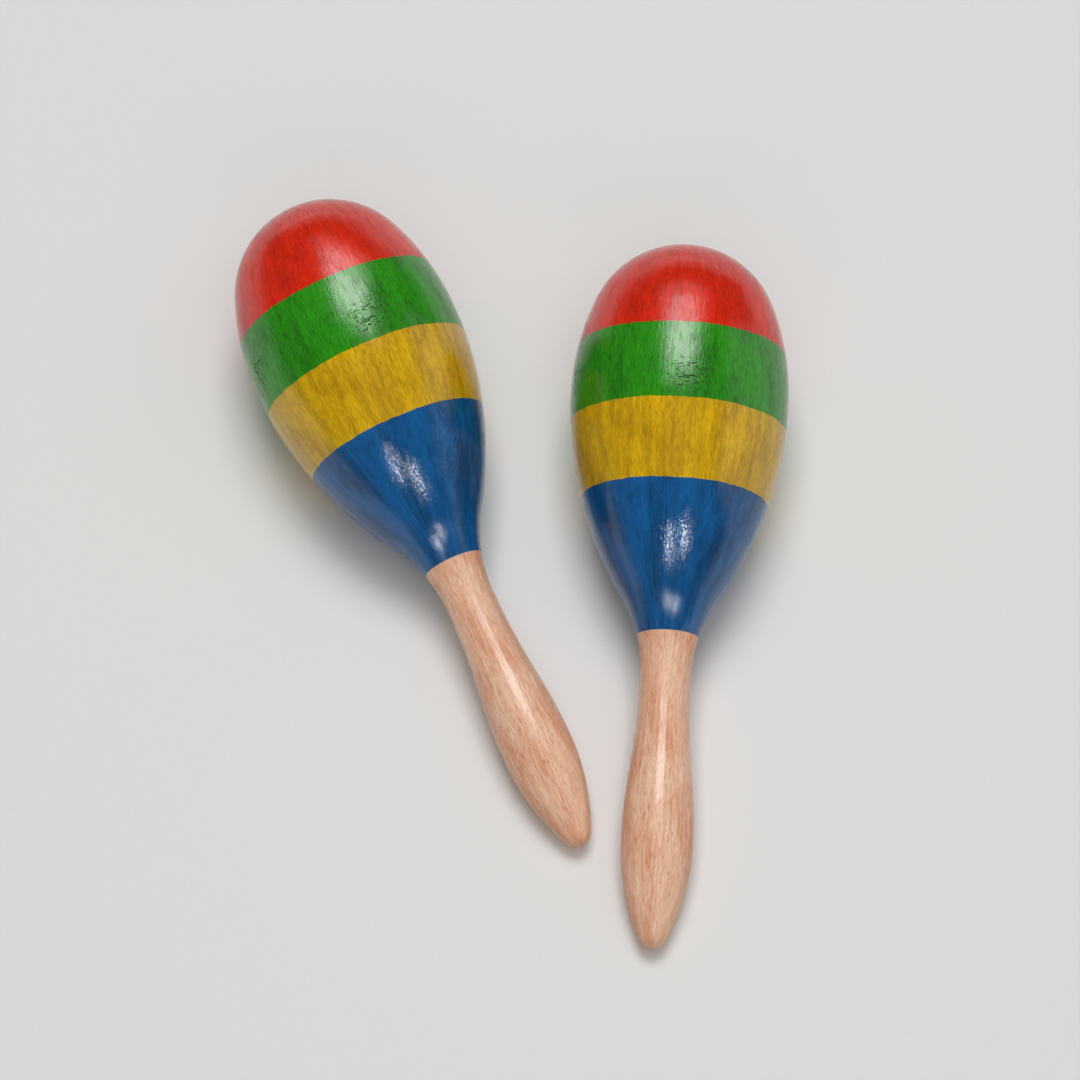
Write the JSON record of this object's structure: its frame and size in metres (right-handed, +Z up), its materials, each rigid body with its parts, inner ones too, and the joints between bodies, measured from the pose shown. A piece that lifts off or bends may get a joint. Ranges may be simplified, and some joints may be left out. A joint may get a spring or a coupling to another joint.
{
  "type": "maracas",
  "caption": "Pair of turned wooden maracas lying side by side: hollow egg-shaped heads with four bands of coloured lacquer, slim plain handles, and loose seeds that rattle when shaken.",
  "frame": {"origin": "middle of the pair's footprint, on the surface they lie on", "axes": "+Z up; +Y from the handles towards the crowns, nearly along the right maraca; +X from the left maraca towards the right one"},
  "size_m": [0.1788, 0.2434, 0.0719],
  "materials": {
    "handle_wood": "clear gloss lacquer",
    "head_wood": "bare turned wood",
    "paint_blue": "gloss",
    "paint_yellow": "gloss",
    "paint_green": "gloss",
    "paint_red": "gloss",
    "seed": "dry hard seed"
  },
  "bodies": {
    "right_maraca": {"right_handle": "handle_wood", "right_base_shell": "head_wood", "right_crown_shell": "head_wood", "right_paint_blue": "paint_blue", "right_paint_yellow": "paint_yellow", "right_paint_green": "paint_green", "right_paint_red": "paint_red"},
    "left_maraca": {"left_handle": "handle_wood", "left_base_shell": "head_wood", "left_crown_shell": "head_wood", "left_paint_blue": "paint_blue", "left_paint_yellow": "paint_yellow", "left_paint_green": "paint_green", "left_paint_red": "paint_red"},
    "right_seed_01": {"right_seed_01": "seed"},
    "right_seed_02": {"right_seed_02": "seed"},
    "right_seed_03": {"right_seed_03": "seed"},
    "right_seed_04": {"right_seed_04": "seed"},
    "right_seed_05": {"right_seed_05": "seed"},
    "right_seed_06": {"right_seed_06": "seed"},
    "right_seed_07": {"right_seed_07": "seed"},
    "right_seed_08": {"right_seed_08": "seed"},
    "right_seed_09": {"right_seed_09": "seed"},
    "right_seed_10": {"right_seed_10": "seed"},
    "right_seed_11": {"right_seed_11": "seed"},
    "right_seed_12": {"right_seed_12": "seed"},
    "left_seed_01": {"left_seed_01": "seed"},
    "left_seed_02": {"left_seed_02": "seed"},
    "left_seed_03": {"left_seed_03": "seed"},
    "left_seed_04": {"left_seed_04": "seed"},
    "left_seed_05": {"left_seed_05": "seed"},
    "left_seed_06": {"left_seed_06": "seed"},
    "left_seed_07": {"left_seed_07": "seed"},
    "left_seed_08": {"left_seed_08": "seed"},
    "left_seed_09": {"left_seed_09": "seed"},
    "left_seed_10": {"left_seed_10": "seed"},
    "left_seed_11": {"left_seed_11": "seed"},
    "left_seed_12": {"left_seed_12": "seed"}
  },
  "joints": [
    {"name": "left_maraca_lift", "type": "slide", "parent": "right_maraca", "child": "left_maraca", "axis": [0, 0, 1], "range_m": [0, 0.12]},
    {"name": "right_seed_01_rattle", "type": "slide", "parent": "right_maraca", "child": "right_seed_01", "axis": [0, 0, 1], "range_m": [0, 0.0515]},
    {"name": "right_seed_02_rattle", "type": "slide", "parent": "right_maraca", "child": "right_seed_02", "axis": [0, 0, 1], "range_m": [0, 0.0534]},
    {"name": "right_seed_03_rattle", "type": "slide", "parent": "right_maraca", "child": "right_seed_03", "axis": [0, 0, 1], "range_m": [0, 0.0546]},
    {"name": "right_seed_04_rattle", "type": "slide", "parent": "right_maraca", "child": "right_seed_04", "axis": [0, 0, 1], "range_m": [0, 0.0552]},
    {"name": "right_seed_05_rattle", "type": "slide", "parent": "right_maraca", "child": "right_seed_05", "axis": [0, 0, 1], "range_m": [0, 0.0517]},
    {"name": "right_seed_06_rattle", "type": "slide", "parent": "right_maraca", "child": "right_seed_06", "axis": [0, 0, 1], "range_m": [0, 0.0537]},
    {"name": "right_seed_07_rattle", "type": "slide", "parent": "right_maraca", "child": "right_seed_07", "axis": [0, 0, 1], "range_m": [0, 0.0552]},
    {"name": "right_seed_08_rattle", "type": "slide", "parent": "right_maraca", "child": "right_seed_08", "axis": [0, 0, 1], "range_m": [0, 0.0561]},
    {"name": "right_seed_09_rattle", "type": "slide", "parent": "right_maraca", "child": "right_seed_09", "axis": [0, 0, 1], "range_m": [0, 0.0515]},
    {"name": "right_seed_10_rattle", "type": "slide", "parent": "right_maraca", "child": "right_seed_10", "axis": [0, 0, 1], "range_m": [0, 0.0534]},
    {"name": "right_seed_11_rattle", "type": "slide", "parent": "right_maraca", "child": "right_seed_11", "axis": [0, 0, 1], "range_m": [0, 0.0546]},
    {"name": "right_seed_12_rattle", "type": "slide", "parent": "right_maraca", "child": "right_seed_12", "axis": [0, 0, 1], "range_m": [0, 0.0552]},
    {"name": "left_seed_01_rattle", "type": "slide", "parent": "left_maraca", "child": "left_seed_01", "axis": [0, 0, 1], "range_m": [0, 0.0515]},
    {"name": "left_seed_02_rattle", "type": "slide", "parent": "left_maraca", "child": "left_seed_02", "axis": [0, 0, 1], "range_m": [0, 0.0534]},
    {"name": "left_seed_03_rattle", "type": "slide", "parent": "left_maraca", "child": "left_seed_03", "axis": [0, 0, 1], "range_m": [0, 0.0546]},
    {"name": "left_seed_04_rattle", "type": "slide", "parent": "left_maraca", "child": "left_seed_04", "axis": [0, 0, 1], "range_m": [0, 0.0552]},
    {"name": "left_seed_05_rattle", "type": "slide", "parent": "left_maraca", "child": "left_seed_05", "axis": [0, 0, 1], "range_m": [0, 0.0517]},
    {"name": "left_seed_06_rattle", "type": "slide", "parent": "left_maraca", "child": "left_seed_06", "axis": [0, 0, 1], "range_m": [0, 0.0537]},
    {"name": "left_seed_07_rattle", "type": "slide", "parent": "left_maraca", "child": "left_seed_07", "axis": [0, 0, 1], "range_m": [0, 0.0552]},
    {"name": "left_seed_08_rattle", "type": "slide", "parent": "left_maraca", "child": "left_seed_08", "axis": [0, 0, 1], "range_m": [0, 0.0561]},
    {"name": "left_seed_09_rattle", "type": "slide", "parent": "left_maraca", "child": "left_seed_09", "axis": [0, 0, 1], "range_m": [0, 0.0515]},
    {"name": "left_seed_10_rattle", "type": "slide", "parent": "left_maraca", "child": "left_seed_10", "axis": [0, 0, 1], "range_m": [0, 0.0534]},
    {"name": "left_seed_11_rattle", "type": "slide", "parent": "left_maraca", "child": "left_seed_11", "axis": [0, 0, 1], "range_m": [0, 0.0546]},
    {"name": "left_seed_12_rattle", "type": "slide", "parent": "left_maraca", "child": "left_seed_12", "axis": [0, 0, 1], "range_m": [0, 0.0552]}
  ]
}
